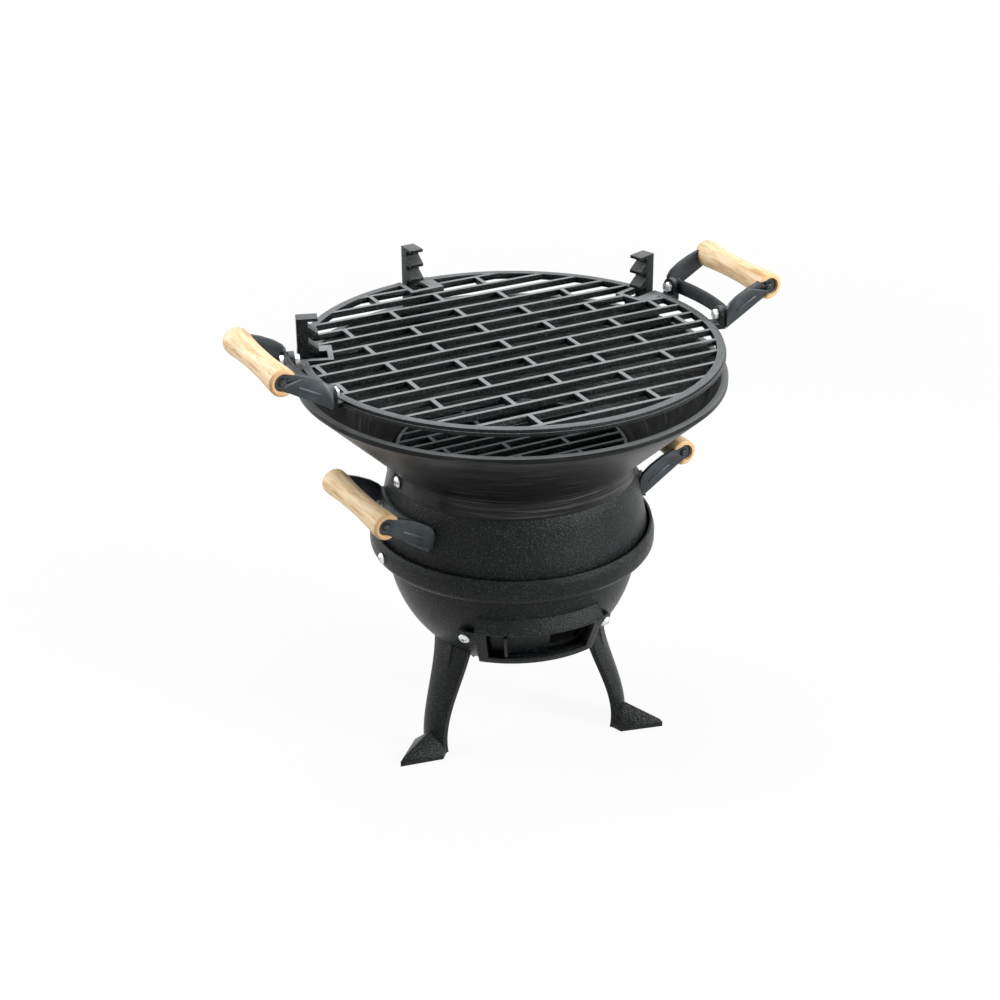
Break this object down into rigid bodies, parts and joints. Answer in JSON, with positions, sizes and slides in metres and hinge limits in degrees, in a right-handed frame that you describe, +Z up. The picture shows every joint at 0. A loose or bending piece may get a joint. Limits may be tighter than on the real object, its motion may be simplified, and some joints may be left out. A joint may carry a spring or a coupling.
{
  "type": "cast-iron table grill",
  "caption": "Round charcoal table grill: ash bowl on cast legs with a sliding air vent, flared fire bowl, lift-out charcoal grate, lift-off cooking grate and turned wooden handles.",
  "frame": {"origin": "on the floor, on the bowl's axis", "axes": "+Z up along the bowl's axis, -Y out of the air vent, X close to the line through the handles"},
  "size_m": [0.4636, 0.35, 0.3803],
  "materials": {
    "cast_iron": "matte black, fine cast grain",
    "strap": "dark satin",
    "grip": "turned, unvarnished pale wood",
    "fastener": "bright zinc",
    "dark_fastener": "dull steel"
  },
  "bodies": {
    "base": {"base_bowl": "cast_iron", "leg_back": "cast_iron", "leg_left": "cast_iron", "leg_right": "cast_iron", "leg_bolts": "dark_fastener", "vent_frame": "cast_iron", "vent_screws": "fastener", "vent_nuts": "fastener", "body_ring": "cast_iron", "band_screws": "fastener", "band_nuts": "fastener", "fire_bowl": "cast_iron", "neck_screws": "fastener", "neck_nuts": "fastener", "post_right": "cast_iron", "post_back": "cast_iron", "post_left": "cast_iron", "side_strap_right": "strap", "side_strap_left": "strap", "side_grip_right": "grip", "side_grip_left": "grip", "side_rod_right": "dark_fastener", "side_rod_left": "dark_fastener", "side_bolts": "fastener", "side_nuts": "fastener"},
    "slider": {"vent_slider": "cast_iron"},
    "charcoal": {"charcoal_grate": "cast_iron"},
    "grate": {"cooking_grate": "cast_iron", "grate_strap_right": "strap", "grate_strap_left": "strap", "grate_grip_right": "grip", "grate_grip_left": "grip", "grate_rod_right": "dark_fastener", "grate_rod_left": "dark_fastener", "grate_bolts": "fastener", "grate_nuts": "fastener"}
  },
  "joints": [
    {"name": "vent_slide", "type": "hinge", "parent": "base", "child": "slider", "pos_m": [0, 0, 0.12], "axis": [0, 0, 1], "range_deg": [0, 19.5]},
    {"name": "charcoal_lift", "type": "slide", "parent": "base", "child": "charcoal", "axis": [0, 0, 1], "range_m": [0, 0.06]},
    {"name": "grate_lift", "type": "slide", "parent": "base", "child": "grate", "axis": [0, 0, 1], "range_m": [0, 0.06]}
  ]
}
